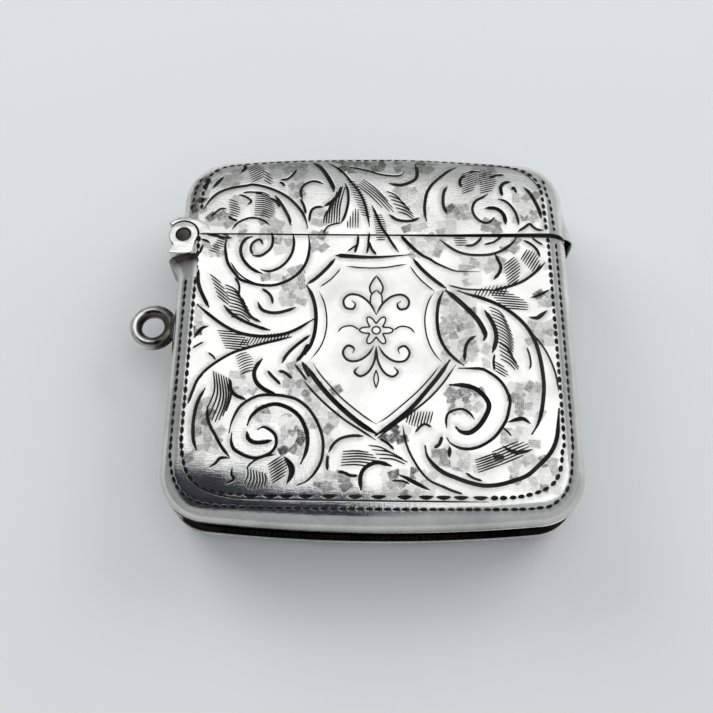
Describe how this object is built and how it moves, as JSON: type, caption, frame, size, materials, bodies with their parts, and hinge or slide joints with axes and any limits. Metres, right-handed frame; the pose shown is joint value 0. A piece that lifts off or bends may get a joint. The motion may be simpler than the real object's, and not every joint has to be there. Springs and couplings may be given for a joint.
{
  "type": "match case",
  "caption": "Flat engraved silver pocket match case with a side-hinged lid, a thumb lip, a fixed chain ring and a ribbed striker let into its base.",
  "frame": {"origin": "middle of the flat back face, which the case lies on", "axes": "+Z out of the engraved front, +Y towards the lid, +X towards the thumb lip"},
  "size_m": [0.0519, 0.0458, 0.009],
  "materials": {
    "engraved_silver": "worn, hand-engraved sterling silver, dark tarnish in the cuts",
    "silver_fittings": "polished sterling silver, softly worn, tarnished in the corners",
    "steel": "darkened steel"
  },
  "bodies": {
    "body": {"body_front_shell": "engraved_silver", "body_back_shell": "engraved_silver", "striker_plate": "silver_fittings", "mouth_bezel": "silver_fittings", "hinge_bearer": "silver_fittings", "hinge_cheek_front": "silver_fittings", "hinge_cheek_back": "silver_fittings", "hinge_pin": "steel", "leaf_spring": "steel", "spring_rivets": "steel", "chain_ring": "silver_fittings", "ring_foot": "silver_fittings"},
    "lid": {"lid_front_shell": "engraved_silver", "lid_back_shell": "engraved_silver", "hinge_hood": "silver_fittings", "hinge_cam": "silver_fittings", "thumb_piece": "silver_fittings"}
  },
  "joints": [
    {"name": "lid_hinge", "type": "hinge", "parent": "body", "child": "lid", "pos_m": [-0.022, 0.0111, 0.0045], "axis": [0, 0, 1], "range_deg": [0, 90], "deforming": ["leaf_spring"]}
  ]
}
